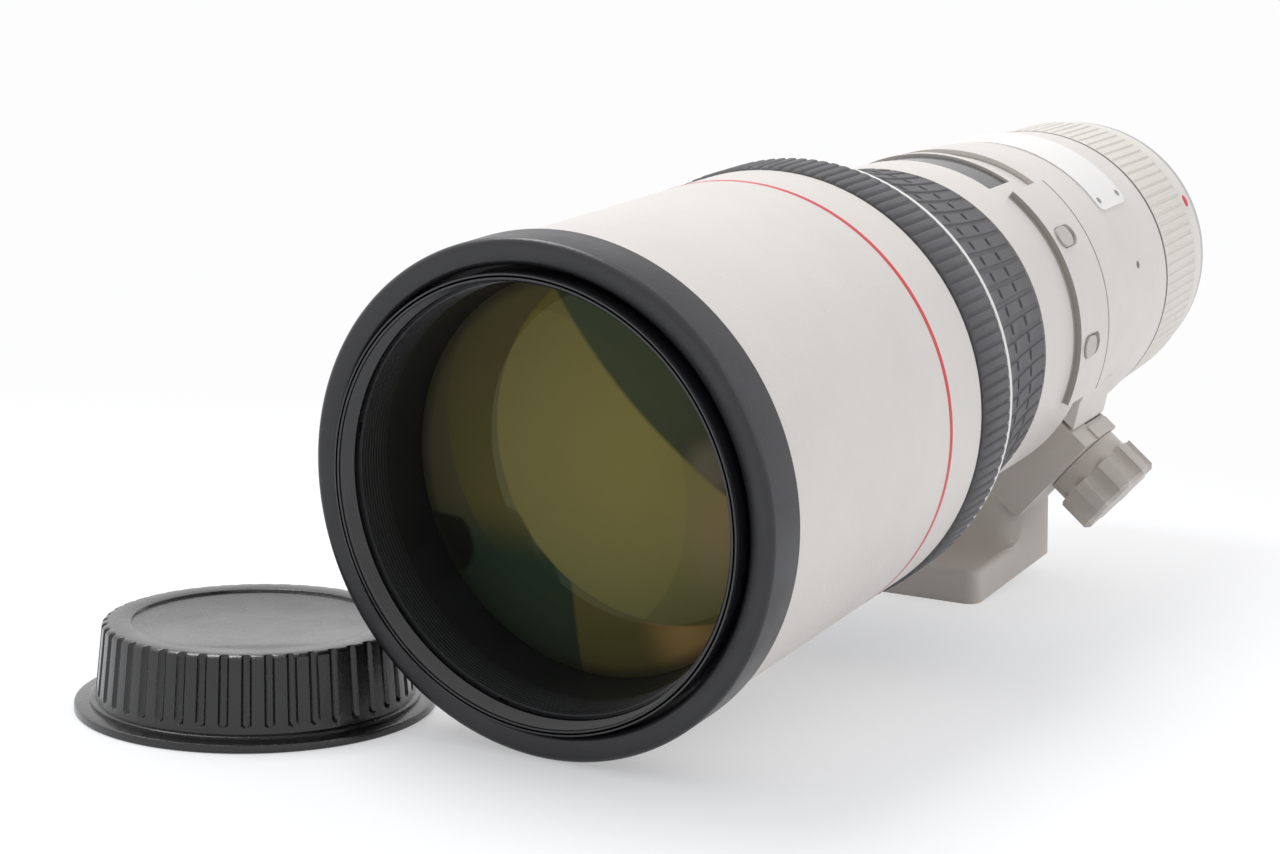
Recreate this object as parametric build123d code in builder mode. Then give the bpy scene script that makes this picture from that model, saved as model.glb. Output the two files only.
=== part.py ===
from build123d import *
import math
import os

# Telephoto lens with a sliding hood, a focus drive, two switches and a hinged tripod collar.
# Millimetres. The origin is the centre of the mount flange's seating face, on the optical axis.
# +Y runs along the optical axis towards the camera body, +Z is up, +X is to the right seen from the front.
# Angles round the axis are in degrees from the top (+Z) towards the right (+X).

# Lengths along the axis, counted from the seating face towards the front
flange_thickness = 1.7
rear_ring_length = 30.7
rear_ring_taper_length = 8.0
rear_ring_gap = 0.5
rear_barrel_length = 31.5
rear_barrel_taper_length = 12.8
collar_width = 19.0
collar_side_gap = 0.3
neck_length = 7.8
main_barrel_length = 26.0
focus_ring_length = 35.0
focus_ring_gap = 0.5
band_thickness = 0.9
band_gap = 0.3
hood_grip_length = 12.8
hood_tube_length = 77.4
hood_front_length = 9.7
filter_ring_proud = 1.8

# Clearances
slide_gap = 0.3
turn_gap = 0.15
seat_gap = 0.05

# Radii of the front, built outwards from the filter thread
filter_radius = 38.5
filter_rim_wall = 1.0
front_barrel_wall = 1.65
hood_side_gap = 1.0
hood_wall = 1.6
hood_lip = 0.5
hood_front_proud = 1.2
hood_grip_proud = 0.6
hood_grip_thickness = 1.6
band_proud = 0.16
focus_front_proud = 0.1
filter_rim_radius = filter_radius + filter_rim_wall
front_barrel_radius = filter_rim_radius + seat_gap + front_barrel_wall
hood_inner = front_barrel_radius + hood_side_gap
hood_opening_radius = hood_inner - hood_lip
hood_radius = hood_inner + hood_wall
hood_front_radius = hood_radius + hood_front_proud
hood_grip_radius = hood_radius + hood_grip_proud
band_radius = hood_radius + band_proud
focus_front_radius = hood_radius + focus_front_proud

# Radii of the rear, all stepped from the rear barrel
rear_barrel_radius = 35.1
rear_barrel_wall = 3.1
rear_barrel_taper = 1.1
rear_ring_step = 0.1
rear_ring_first_taper = 0.6
rear_ring_last_taper = 1.2
mount_step = 0.1
spigot_wall = 3.05
groove_depth = 1.35
rear_bore = rear_barrel_radius - rear_barrel_wall
rear_barrel_end_radius = rear_barrel_radius - rear_barrel_taper
rear_ring_radius = rear_barrel_end_radius - rear_ring_step
rear_ring_waist_radius = rear_ring_radius - rear_ring_first_taper
rear_ring_end_radius = rear_ring_waist_radius - rear_ring_last_taper
rear_ring_bore = rear_bore - seat_gap - spigot_wall
mount_radius = rear_ring_end_radius - mount_step
groove_seat_radius = rear_barrel_radius - groove_depth

# Radii of the middle, stepped from the bore that takes the rear barrel's front end
neck_wall = 1.5
bearing_wall = 1.5
main_wall = 3.1
web_lip = 3.3
panel_proud = 1.4
focus_rear_proud = 0.2
focus_waist_rise = 3.2
focus_waist_at = 12.3
focus_rib_count = 69
focus_groove_width = 1.5
focus_groove_depth = 0.6
main_bore = groove_seat_radius + seat_gap
web_bore = main_bore - web_lip
neck_radius = main_bore + neck_wall
under_focus_radius = main_bore + bearing_wall
main_radius = main_bore + main_wall
panel_radius = main_radius + panel_proud
focus_rear_radius = main_radius + focus_rear_proud
focus_waist_radius = focus_rear_radius + focus_waist_rise

# Hood and the shoes that carry it
hood_edge_chamfer = 0.9
grip_rib_count = 120
grip_groove_width = 0.9
grip_groove_depth = 0.35
shoe_count = 3
shoe_span = 16.0
shoe_length = 10.0
shoe_groove_depth = 0.8
shoe_pin_span = 3.0
shoe_pin_length = 2.4
hood_travel = 58.0
hood_twist = 15.0
front_barrel_from_front = 8.0

# Front glass and its fixings
front_cell_step = 0.6
filter_thread_length = 4.3
front_cell_length = 34.0
trim_length = 17.0
trim_edge = 0.25
trim_slope = 1.4
notch_width = 2.0
notch_depth = 1.2
notch_count = 4
notch_start = 76.0
front_glass_edge = 6.2
front_glass_bulge = 3.6
front_glass_half_bulge = 2.7
cell_ledge = 3.4

# Main barrel, window and switches
web_length = 4.0
window_half_angle = 30.6
window_from_rear = 1.9
window_length = 11.0
window_depth = 0.6
window_thickness = 1.0
window_ledge = 1.0
panel_start = 36.0
panel_end = 112.0
panel_length = 16.8
panel_from_groove = 0.2
switch_angles = (56.8, 93.2)
switch_slot_length = 9.6
switch_slot_width = 5.0
switch_slot_from_front = 1.7
switch_slot_depth = 1.3
switch_length = 6.2
switch_proud = 0.5
switch_travel = 3.0
switch_side_gap = 0.2

# Focus drive inside the barrel
drum_wall = 2.6
drum_length = 40.0
focus_cell_length = 14.0
focus_cell_wall = 5.0
focus_cell_start = 4.0
focus_glass_edge = 6.0

# Rear group, bayonet and contacts
rear_barrel_overlap = 6.8
spigot_length = 9.0
mount_screw_inset = 2.0
bayonet_inset = 4.0
bayonet_wall = 1.6
bayonet_length = 5.2
tab_height = 1.6
tab_thickness = 1.4
tab_from_end = 0.8
tab_span = 56.0
tab_count = 3
mount_screw_radius = 0.85
mount_screw_head = 1.6
mount_screw_head_depth = 0.9
mount_screw_length = 6.0
mount_screw_count = 4
baffle_width = 34.0
baffle_height = 24.0
baffle_thickness = 1.2
contact_block_width = 2.85
contact_span = 62.0
contact_block_length = 6.0
contact_count = 8
contact_spacing = 7.0
contact_size = 1.2
contact_sunk = 1.0
contact_proud = 0.4
rear_cell_wall = 11.95
rear_glass_edge = 7.0
rear_cell_length = 12.0

# Index dot and bare nameplate
dot_angle = 63.0
dot_radius = 1.3
dot_from_face = 6.2
dot_depth = 1.2
plate_half_angle = 53.5
plate_length = 16.0
plate_thickness = 0.35
plate_behind_collar = 1.7

# Tripod collar: two halves, hinged on one side and clamped on the other
collar_front_wall = 2.6
collar_rear_wall = 1.7
clamp_angle = 131.3
split_offset = 1.0
split_gap = 0.8
strap_lug_height = 4.9
strap_lug_length = 7.7
strap_lug_slope = 4.2
clamp_face_out = 9.5
lug_corner = 6.0
lug_root = 3.0
clamp_axis_offset = -7.8
clamp_from_front = 13.4
hinge_out = 3.9
knuckle_radius = 2.9
knuckle_relief = 0.3
hinge_pin_radius = 1.2
end_knuckle_length = 5.0
tongue_width = 9.0
tongue_out = 2.3
tongue_thickness = 2.6
tongue_reach = 13.0
stem_radius = 2.5
sleeve_radius = 4.0
sleeve_length = 3.4
knob_radius = 10.5
knob_neck_radius = 9.0
knob_neck_length = 4.2
knob_grip_length = 8.0
knob_chamfer = 0.8
knob_flute_count = 9
knob_flute_radius = 2.4
knob_flute_sunk = 0.6
latch_width = 3.4
latch_length = 12.0
latch_thickness = 0.5

# Foot
foot_bottom = -60.0
foot_length = 45.0
foot_from_collar = 23.0
foot_half_width = 17.2
foot_corner = 3.0
foot_edge_round = 1.5
foot_toe_height = 7.5
foot_blend = 7.0
foot_blend_steps = 4
foot_stem_corner = 6.0
foot_stem_top = -25.0
bush_radius = 6.0
bush_hole = 3.175
bush_length = 9.0
bush_from_front = 30.0

# Rear cap lying beside the lens, on the flat surface that the lens rests on
cap_gap = 1.1
cap_from_front = 0.4
cap_tab_gap = 0.1
cap_tab_room = 4.8
cap_wall = 1.2
cap_flange_width = 3.77
cap_flange_height = 1.6
cap_step_width = 1.1
cap_step_height = 0.7
cap_height = 15.8
cap_taper = 1.3
cap_edge_chamfer = 0.6
cap_rim_width = 5.2
cap_recess_depth = 0.6
cap_top_wall = 2.0
cap_groove_count = 45
cap_groove_width = 2.0
cap_groove_depth = 0.7
cap_groove_start = 5.0

# Radii that follow from the chains above
front_cell_bore = filter_radius - front_cell_step
trim_front_radius = front_cell_bore - seat_gap - trim_edge
glass_clear_radius = trim_front_radius - trim_slope
cell_ledge_radius = front_cell_bore - cell_ledge
mount_screw_circle = mount_radius - mount_screw_inset
bayonet_radius = mount_screw_circle - bayonet_inset
bayonet_bore = bayonet_radius - bayonet_wall
tab_radius = bayonet_radius + tab_height
contact_bore = bayonet_bore - seat_gap - contact_block_width
rear_glass_radius = rear_bore - seat_gap - rear_cell_wall
collar_bore = groove_seat_radius + turn_gap
collar_front_radius = collar_bore + collar_front_wall
collar_rear_radius = collar_bore + collar_rear_wall
strap_lug_radius = collar_bore + strap_lug_height
clamp_face = collar_bore + clamp_face_out
hinge_radius = collar_bore + hinge_out
tongue_radius = collar_bore + tongue_out
cap_inner = tab_radius + cap_tab_gap
cap_throat = bayonet_radius + slide_gap
cap_body_radius = cap_inner + cap_wall
cap_flange_radius = cap_body_radius + cap_flange_width
cap_top_radius = cap_body_radius - cap_taper
cap_shoulder = cap_height - cap_edge_chamfer
cap_x = -(math.sqrt(2 * hood_front_radius * cap_shoulder - cap_shoulder**2) + cap_top_radius + cap_gap)

# Stations on the axis, y in millimetres
flange_front = -flange_thickness
rear_ring_front = flange_front - rear_ring_length
rear_barrel_back = rear_ring_front - rear_ring_gap
groove_back = rear_barrel_back - rear_barrel_length
collar_back = groove_back - collar_side_gap
collar_front = collar_back - collar_width
groove_front = collar_front - collar_side_gap
main_back = groove_front - neck_length
main_front = main_back - main_barrel_length
focus_back = main_front - focus_ring_gap
focus_front = focus_back - focus_ring_length
band_back = focus_front - band_gap
band_front = band_back - band_thickness
grip_back = band_front - band_gap
grip_front = grip_back - hood_grip_length
tube_front = grip_front - hood_tube_length
hood_front = tube_front - hood_front_length
lens_front = hood_front - filter_ring_proud

os.makedirs("parts", exist_ok=True)


def across(y):
    """A sketch plane square to the axis at y, with X to the right and Z up."""
    return Plane.XZ.offset(-y)


def facing(radius, angle, y):
    """A plane that touches a radius at an angle from the top: local X along the axis, normal outwards."""
    turn = math.radians(angle)
    out = (math.sin(turn), 0, math.cos(turn))
    return Plane(origin=(radius * out[0], y, radius * out[2]), x_dir=(0, 1, 0), z_dir=out)


def tube(y_from, y_to, outer, inner=0.0, mode=Mode.ADD):
    """A plain ring or disc round the axis."""
    with BuildSketch(across(y_from)) as profile:
        Circle(outer)
        if inner > 0:
            Circle(inner, mode=Mode.SUBTRACT)
    extrude(profile.sketch, amount=y_to - y_from, dir=(0, 1, 0), mode=mode)


def turned(*corners, mode=Mode.ADD):
    """A solid turned round the axis from (y, radius) corners."""
    with BuildSketch(Plane.YZ) as profile:
        with BuildLine():
            Polyline(*corners, close=True)
        make_face()
    revolve(profile.sketch, axis=Axis.Y, mode=mode)


def sector(y_from, y_to, outer, inner, start, end, mode=Mode.ADD):
    """A length of ring between two angles from the top."""
    with BuildSketch(across(y_from)) as profile:
        with BuildLine():
            far_arc = CenterArc((0, 0), outer, 90 - end, end - start)
            near_arc = CenterArc((0, 0), inner, 90 - end, end - start)
            Line(far_arc @ 0, near_arc @ 0)
            Line(far_arc @ 1, near_arc @ 1)
        make_face()
    extrude(profile.sketch, amount=y_to - y_from, dir=(0, 1, 0), mode=mode)


def prism(y_from, y_to, corners, mode=Mode.ADD):
    """A length of a closed (x, z) outline along the axis."""
    with BuildSketch(across(y_from)) as profile:
        with BuildLine():
            Polyline(*corners, close=True)
        make_face()
    extrude(profile.sketch, amount=y_to - y_from, dir=(0, 1, 0), mode=mode)


def grooves(planes, width, *corners):
    """Grooves with parallel walls, one in each plane, with their floor and open side from corners."""
    with BuildSketch(*planes) as profile:
        with BuildLine():
            Polyline(*corners, close=True)
        make_face()
    extrude(profile.sketch, amount=width / 2, both=True, mode=Mode.SUBTRACT)


def spokes(count, centre, along):
    """Evenly spaced planes through an axis: local X runs along it and Y outwards."""
    base = Plane(origin=centre, z_dir=along)
    turns = [2 * math.pi * step / count for step in range(count)]
    sides = [base.x_dir * math.cos(turn) + base.y_dir * math.sin(turn) for turn in turns]
    return [Plane(origin=centre, x_dir=along, z_dir=side) for side in sides]


def save(piece, name):
    """Labels a finished sub-part and writes it under its own name."""
    piece.part.label = name
    export_step(piece.part, f"parts/{name}.step")


# Hood tube: the rear end is turned down under the rubber grip and has slots for the shoes' pins
grip_seat = hood_grip_radius - hood_grip_thickness
shoe_back = grip_back - band_gap
shoe_front = shoe_back - shoe_length
pin_front = shoe_back - shoe_length / 2 - shoe_pin_length / 2
with BuildPart() as hood_tube:
    turned(
        (tube_front, hood_inner),
        (tube_front, hood_radius),
        (grip_front, hood_radius),
        (grip_front, grip_seat),
        (grip_back, grip_seat),
        (grip_back, hood_inner),
    )
    for shoe in range(shoe_count):
        middle = shoe * 360 / shoe_count
        sector(
            pin_front - turn_gap, pin_front + shoe_pin_length + turn_gap, hood_radius, hood_inner - slide_gap,
            middle - shoe_pin_span / 2 - hood_twist - 1, middle + shoe_pin_span / 2 + 1, mode=Mode.SUBTRACT,
        )
save(hood_tube, "hood_tube")

with BuildPart() as hood_front_ring:
    turned(
        (hood_front, hood_opening_radius),
        (hood_front, hood_front_radius - hood_edge_chamfer),
        (hood_front + hood_edge_chamfer, hood_front_radius),
        (tube_front, hood_front_radius),
        (tube_front, hood_opening_radius),
    )
save(hood_front_ring, "hood_front_ring")

with BuildPart() as hood_grip:
    tube(grip_front, grip_back, hood_grip_radius, grip_seat)
    grooves(
        spokes(grip_rib_count, (0, 0, 0), (0, 1, 0)), grip_groove_width,
        (grip_front - 1, hood_grip_radius - grip_groove_depth), (grip_back + 1, hood_grip_radius - grip_groove_depth),
        (grip_back + 1, hood_grip_radius + 1), (grip_front - 1, hood_grip_radius + 1),
    )
save(hood_grip, "hood_grip")

# Shoes that slide in grooves of the front barrel and guide the hood
shoe_outer = hood_inner - turn_gap
shoe_inner = front_barrel_radius - shoe_groove_depth + turn_gap
with BuildPart() as hood_shoes:
    for shoe in range(shoe_count):
        middle = shoe * 360 / shoe_count
        sector(
            shoe_front, shoe_back, shoe_outer, shoe_inner, middle - shoe_span / 2, middle + shoe_span / 2,
        )
        sector(
            pin_front, pin_front + shoe_pin_length, grip_seat - turn_gap, shoe_inner,
            middle - shoe_pin_span / 2, middle + shoe_pin_span / 2,
        )
save(hood_shoes, "hood_shoes")

front_barrel_front = lens_front + front_barrel_from_front
with BuildPart() as front_barrel:
    tube(front_barrel_front, band_front, front_barrel_radius, filter_rim_radius + seat_gap)
    for shoe in range(shoe_count):
        middle = shoe * 360 / shoe_count
        sector(
            shoe_front - hood_travel - slide_gap, band_front, front_barrel_radius + slide_gap,
            front_barrel_radius - shoe_groove_depth, middle - shoe_span / 2 - turn_gap,
            middle + shoe_span / 2 + turn_gap, mode=Mode.SUBTRACT,
        )
save(front_barrel, "front_barrel")

# Front cell with the filter thread, its trim ring and the front glass
front_cell_back = lens_front + front_cell_length
thread_back = lens_front + filter_thread_length
trim_back = thread_back + trim_length
glass_back = trim_back + front_glass_edge
with BuildPart() as filter_ring:
    turned(
        (lens_front, filter_radius),
        (lens_front, filter_rim_radius),
        (front_cell_back, filter_rim_radius),
        (front_cell_back, cell_ledge_radius),
        (glass_back, cell_ledge_radius),
        (glass_back, front_cell_bore),
        (thread_back, front_cell_bore),
        (thread_back, filter_radius),
    )
save(filter_ring, "filter_ring")

with BuildPart() as trim_ring:
    turned(
        (thread_back, trim_front_radius),
        (thread_back, front_cell_bore - seat_gap),
        (trim_back, front_cell_bore - seat_gap),
        (trim_back, glass_clear_radius),
    )
    with Locations(across(thread_back)):
        with PolarLocations(trim_front_radius, notch_count, start_angle=notch_start):
            Box(2 * notch_width, notch_width, 2 * notch_depth, mode=Mode.SUBTRACT)
save(trim_ring, "trim_ring")

with BuildPart() as front_glass:
    turned(
        (trim_back, front_cell_bore - seat_gap),
        (glass_back, front_cell_bore - seat_gap),
        (glass_back, 0),
        (trim_back - front_glass_bulge, 0),
        (trim_back - front_glass_half_bulge, glass_clear_radius / 2),
        (trim_back, glass_clear_radius - seat_gap),
    )
save(front_glass, "front_glass")

# Main barrel: web, band, bearing for the focus ring, window, switch pad and neck
window_back = main_back - window_from_rear
window_front = window_back - window_length
panel_back = groove_front - panel_from_groove
panel_front = panel_back - panel_length
slot_middle = panel_front + switch_slot_from_front + switch_slot_length / 2
web_front = band_back - web_length
window_seat = main_radius - window_depth - window_thickness
window_ledge_angle = math.degrees(window_ledge / main_radius)
with BuildPart() as main_barrel:
    turned(
        (web_front, web_bore),
        (web_front, filter_rim_radius),
        (band_front, filter_rim_radius),
        (band_front, band_radius),
        (band_back, band_radius),
        (band_back, under_focus_radius),
        (main_front, under_focus_radius),
        (main_front, main_radius),
        (main_back, main_radius),
        (main_back, neck_radius),
        (groove_front, neck_radius),
        (groove_front, main_bore),
        (band_back, main_bore),
        (band_back, web_bore),
    )
    sector(panel_front, panel_back, panel_radius, neck_radius - slide_gap, panel_start, panel_end)
    sector(
        window_front, window_back, main_radius + slide_gap, window_seat,
        -window_half_angle, window_half_angle, mode=Mode.SUBTRACT,
    )
    sector(
        window_front + window_ledge, window_back - window_ledge, main_radius, main_bore - slide_gap,
        -window_half_angle + window_ledge_angle, window_half_angle - window_ledge_angle, mode=Mode.SUBTRACT,
    )
    for angle in switch_angles:
        with BuildSketch(facing(panel_radius, angle, slot_middle)):
            SlotOverall(switch_slot_length, switch_slot_width)
        extrude(amount=-switch_slot_depth, mode=Mode.SUBTRACT)
save(main_barrel, "main_barrel")

with BuildPart() as window_glass:
    side = math.degrees(seat_gap / main_radius)
    sector(
        window_front + seat_gap, window_back - seat_gap, window_seat + window_thickness, window_seat,
        -window_half_angle + side, window_half_angle - side,
    )
save(window_glass, "window_glass")

# Two equal sliding switches, at the front ends of their slots
switch_middle = slot_middle - switch_travel / 2
switch_width = switch_slot_width - 2 * switch_side_gap
switch_floor = panel_radius - switch_slot_depth
with BuildPart() as focus_switch:
    with BuildSketch(facing(switch_floor, switch_angles[0], switch_middle)):
        SlotOverall(switch_length, switch_width)
    extrude(amount=switch_slot_depth + switch_proud)
save(focus_switch, "focus_switch")

with BuildPart() as range_switch:
    with BuildSketch(facing(switch_floor, switch_angles[1], switch_middle)):
        SlotOverall(switch_length, switch_width)
    extrude(amount=switch_slot_depth + switch_proud)
save(range_switch, "range_switch")

with BuildPart() as focus_ring:
    turned(
        (focus_front, under_focus_radius + turn_gap),
        (focus_front, focus_front_radius),
        (focus_front + focus_waist_at, focus_waist_radius),
        (focus_back, focus_rear_radius),
        (focus_back, under_focus_radius + turn_gap),
    )
    grooves(
        spokes(focus_rib_count, (0, 0, 0), (0, 1, 0)), focus_groove_width,
        (focus_front - 1, focus_front_radius + 1), (focus_front - 1, focus_front_radius - focus_groove_depth),
        (focus_front, focus_front_radius - focus_groove_depth),
        (focus_front + focus_waist_at, focus_waist_radius - focus_groove_depth),
        (focus_back, focus_rear_radius - focus_groove_depth),
        (focus_back + 1, focus_rear_radius - focus_groove_depth), (focus_back + 1, focus_front_radius + 1),
    )
save(focus_ring, "focus_ring")

# Scale drum under the window, and the focus cell that slides in the rear barrel
drum_radius = main_bore - turn_gap
with BuildPart() as scale_drum:
    tube(main_back - drum_length, main_back, drum_radius, drum_radius - drum_wall)
save(scale_drum, "scale_drum")

rear_barrel_front = groove_front - rear_barrel_overlap
cell_front = rear_barrel_front + focus_cell_start
cell_back = cell_front + focus_cell_length
cell_radius = rear_bore - turn_gap
cell_bore = cell_radius - focus_cell_wall
with BuildPart() as focus_cell:
    tube(cell_front, cell_back, cell_radius, cell_bore)
save(focus_cell, "focus_cell")

with BuildPart() as focus_glass:
    tube(cell_front, cell_front + focus_glass_edge, cell_bore)
save(focus_glass, "focus_glass")

# Rear barrel, with the groove seat that the collar turns on
taper_front = rear_barrel_back - rear_barrel_taper_length
with BuildPart() as rear_barrel:
    turned(
        (rear_barrel_front, rear_bore),
        (rear_barrel_front, groove_seat_radius),
        (groove_back, groove_seat_radius),
        (groove_back, rear_barrel_radius),
        (taper_front, rear_barrel_radius),
        (rear_barrel_back, rear_barrel_end_radius),
        (rear_barrel_back, rear_bore),
    )
save(rear_barrel, "rear_barrel")

plate_front = groove_back + plate_behind_collar
plate_radius = rear_barrel_radius + plate_thickness
with BuildPart() as nameplate:
    sector(
        plate_front, plate_front + plate_length, plate_radius, rear_barrel_radius,
        -plate_half_angle, plate_half_angle,
    )
save(nameplate, "nameplate")

# Rear ring, its index dot and the bayonet mount
ring_taper_front = flange_front - rear_ring_taper_length
spigot_front = rear_ring_front - spigot_length
ring_taper = (rear_ring_waist_radius - rear_ring_end_radius) / rear_ring_taper_length
dot_y = -dot_from_face
dot_place = rear_ring_waist_radius - ring_taper * (dot_y - ring_taper_front)
with BuildPart() as rear_ring:
    turned(
        (spigot_front, rear_ring_bore),
        (spigot_front, rear_bore - seat_gap),
        (rear_ring_front, rear_bore - seat_gap),
        (rear_ring_front, rear_ring_radius),
        (ring_taper_front, rear_ring_waist_radius),
        (flange_front, rear_ring_end_radius),
        (flange_front, rear_ring_bore),
    )
    with BuildSketch(facing(dot_place, dot_angle, dot_y)):
        Circle(dot_radius)
    extrude(amount=dot_depth, both=True, mode=Mode.SUBTRACT)
    with BuildSketch(across(flange_front)):
        with PolarLocations(mount_screw_circle, mount_screw_count, start_angle=45):
            Circle(mount_screw_radius)
    extrude(amount=mount_screw_length, mode=Mode.SUBTRACT)
save(rear_ring, "rear_ring")

with BuildPart() as mount_dot:
    with BuildSketch(facing(dot_place, dot_angle, dot_y)):
        Circle(dot_radius)
    extrude(amount=-dot_depth)
save(mount_dot, "mount_dot")

tab_back = bayonet_length - tab_from_end
with BuildPart() as mount_plate:
    turned(
        (flange_front, bayonet_bore),
        (flange_front, mount_radius),
        (0, mount_radius),
        (0, bayonet_radius),
        (bayonet_length, bayonet_radius),
        (bayonet_length, bayonet_bore),
    )
    for tab in range(tab_count):
        middle = tab * 360 / tab_count
        sector(
            tab_back - tab_thickness, tab_back, tab_radius, bayonet_radius - seat_gap,
            middle - tab_span / 2, middle + tab_span / 2,
        )
    with BuildSketch(across(0)):
        with PolarLocations(mount_screw_circle, mount_screw_count, start_angle=45):
            Circle(mount_screw_head + seat_gap)
    extrude(amount=mount_screw_head_depth, mode=Mode.SUBTRACT)
    with BuildSketch(across(0)):
        with PolarLocations(mount_screw_circle, mount_screw_count, start_angle=45):
            Circle(mount_screw_radius + seat_gap)
    extrude(amount=flange_thickness, mode=Mode.SUBTRACT)
save(mount_plate, "mount_plate")

with BuildPart() as mount_screws:
    with BuildSketch(across(-2 * seat_gap)):
        with PolarLocations(mount_screw_circle, mount_screw_count, start_angle=45):
            Circle(mount_screw_head)
    extrude(amount=mount_screw_head_depth - 2 * seat_gap)
    with BuildSketch(across(-mount_screw_head_depth)):
        with PolarLocations(mount_screw_circle, mount_screw_count, start_angle=45):
            Circle(mount_screw_radius)
    extrude(amount=mount_screw_length)
save(mount_screws, "mount_screws")

with BuildPart() as rear_baffle:
    tube(flange_front - baffle_thickness, flange_front, rear_ring_bore - seat_gap)
    with BuildSketch(across(flange_front)):
        Rectangle(baffle_width, baffle_height)
    extrude(amount=baffle_thickness, mode=Mode.SUBTRACT)
save(rear_baffle, "rear_baffle")

contact_back = flange_front + contact_block_length
contact_circle = (bayonet_bore + contact_bore) / 2
contact_start = -90 - contact_spacing * (contact_count - 1) / 2
contact_range = contact_spacing * contact_count
with BuildPart() as contact_block:
    sector(
        flange_front, contact_back, bayonet_bore - seat_gap, contact_bore,
        180 - contact_span / 2, 180 + contact_span / 2,
    )
    with BuildSketch(across(contact_back)):
        with PolarLocations(contact_circle, contact_count, contact_start, contact_range):
            Rectangle(contact_size, contact_size)
    extrude(amount=contact_sunk, mode=Mode.SUBTRACT)
save(contact_block, "contact_block")

with BuildPart() as contact_pins:
    with BuildSketch(across(contact_back + contact_proud)):
        with PolarLocations(contact_circle, contact_count, contact_start, contact_range):
            Rectangle(contact_size, contact_size)
    extrude(amount=contact_sunk + contact_proud)
save(contact_pins, "contact_pins")

# Rear glass in its cell, just ahead of the rear ring's spigot
with BuildPart() as rear_cell:
    tube(spigot_front - rear_cell_length, spigot_front, rear_bore - seat_gap, rear_glass_radius)
save(rear_cell, "rear_cell")

with BuildPart() as rear_glass:
    tube(spigot_front - rear_glass_edge, spigot_front, rear_glass_radius)
save(rear_glass, "rear_glass")

# Directions at the clamp: t runs out along the clamp screw, q runs square to it, up across the split
clamp_turn = math.radians(clamp_angle)
out_x, out_z = math.sin(clamp_turn), math.cos(clamp_turn)


def at(t, q):
    """X and Z of a point from its place along and across the clamp screw's direction."""
    return t * out_x - q * out_z, t * out_z + q * out_x


def across_clamp(t):
    """A plane square to the clamp screw, on its centre line: local X along the lens, Y across the split."""
    x, z = at(t, clamp_axis_offset)
    return Plane(origin=(x, clamp_y, z), x_dir=(0, 1, 0), z_dir=(out_x, 0, out_z))


clamp_y = collar_front + clamp_from_front
strap_face = split_offset + split_gap
split_mid = split_offset + split_gap / 2
hinge_x, hinge_z = at(-hinge_radius, split_mid)
tongue_front = clamp_y - tongue_width / 2
tongue_back = clamp_y + tongue_width / 2
foot_front = collar_front - foot_from_collar
lug_low = (clamp_face * out_x - foot_half_width) / out_z
foot_back = foot_front + foot_length
knuckle_front_end = collar_front + end_knuckle_length
knuckle_back_end = collar_back - end_knuckle_length
far = 2 * hood_front_radius


def on_hinge(y_from, y_to, radius, mode=Mode.ADD):
    """A round piece on the hinge pin's centre line."""
    with BuildSketch(across(y_from)) as profile:
        with Locations((hinge_x, hinge_z)):
            Circle(radius)
    extrude(profile.sketch, amount=y_to - y_from, dir=(0, 1, 0), mode=mode)


def tongue_arc(y_from, y_to, gap, q_low, q_high, mode=Mode.ADD):
    """The strap's tongue, or its pocket with a gap: a short arc about the hinge pin."""
    inner = tongue_radius - gap + hinge_radius
    outer = tongue_radius + tongue_thickness + gap + hinge_radius
    start = math.degrees(math.asin((q_low - split_mid) / inner))
    end = math.degrees(math.asin((q_high - split_mid) / inner))
    base = 90 - clamp_angle
    with BuildSketch(across(y_from)) as profile:
        with BuildLine():
            far_arc = CenterArc((hinge_x, hinge_z), outer, base + start, end - start)
            near_arc = CenterArc((hinge_x, hinge_z), inner, base + start, end - start)
            Line(far_arc @ 0, near_arc @ 0)
            Line(far_arc @ 1, near_arc @ 1)
        make_face()
    extrude(profile.sketch, amount=y_to - y_from, dir=(0, 1, 0), mode=mode)


# Strap half of the collar
with BuildPart() as collar_strap:
    turned(
        (collar_front, collar_bore - slide_gap),
        (collar_front, collar_front_radius),
        (collar_back, collar_rear_radius),
        (collar_back, collar_bore - slide_gap),
    )
    prism(
        collar_front, collar_back,
        (
            at(collar_bore - slide_gap, strap_face), at(strap_lug_radius, strap_face),
            at(strap_lug_radius - strap_lug_slope, strap_face + strap_lug_length),
            at(collar_bore - slide_gap, strap_face + strap_lug_length),
        ),
    )
    prism(
        collar_front, collar_back,
        (at(-far, strap_face), at(far, strap_face), at(far, -far), at(-far, -far)), mode=Mode.SUBTRACT,
    )
    on_hinge(collar_front, knuckle_front_end + slide_gap, knuckle_radius + knuckle_relief, mode=Mode.SUBTRACT)
    on_hinge(knuckle_back_end - slide_gap, collar_back, knuckle_radius + knuckle_relief, mode=Mode.SUBTRACT)
    on_hinge(knuckle_front_end + slide_gap, knuckle_back_end - slide_gap, knuckle_radius)
    on_hinge(collar_front, collar_back, hinge_pin_radius + turn_gap, mode=Mode.SUBTRACT)
    tube(collar_front, collar_back, collar_bore, mode=Mode.SUBTRACT)
    tongue_arc(tongue_front, tongue_back, 0, -tongue_reach, strap_face + slide_gap)
    with BuildSketch(across_clamp(tongue_radius - 2)):
        Circle(stem_radius + slide_gap)
        with Locations((0, -tongue_reach / 2)):
            Rectangle(2 * (stem_radius + slide_gap), tongue_reach)
    extrude(amount=tongue_thickness + 3, mode=Mode.SUBTRACT)
save(collar_strap, "collar_strap")

# The lug is drawn across the split, with local X along the lens and Y out along the clamp screw
lug_x, lug_z = at(0, split_offset)
lug_plane = Plane(origin=(lug_x, 0, lug_z), x_dir=(0, 1, 0), z_dir=(out_z, 0, -out_x))
lug_corner_way = (out_x, -1, out_z)

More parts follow.
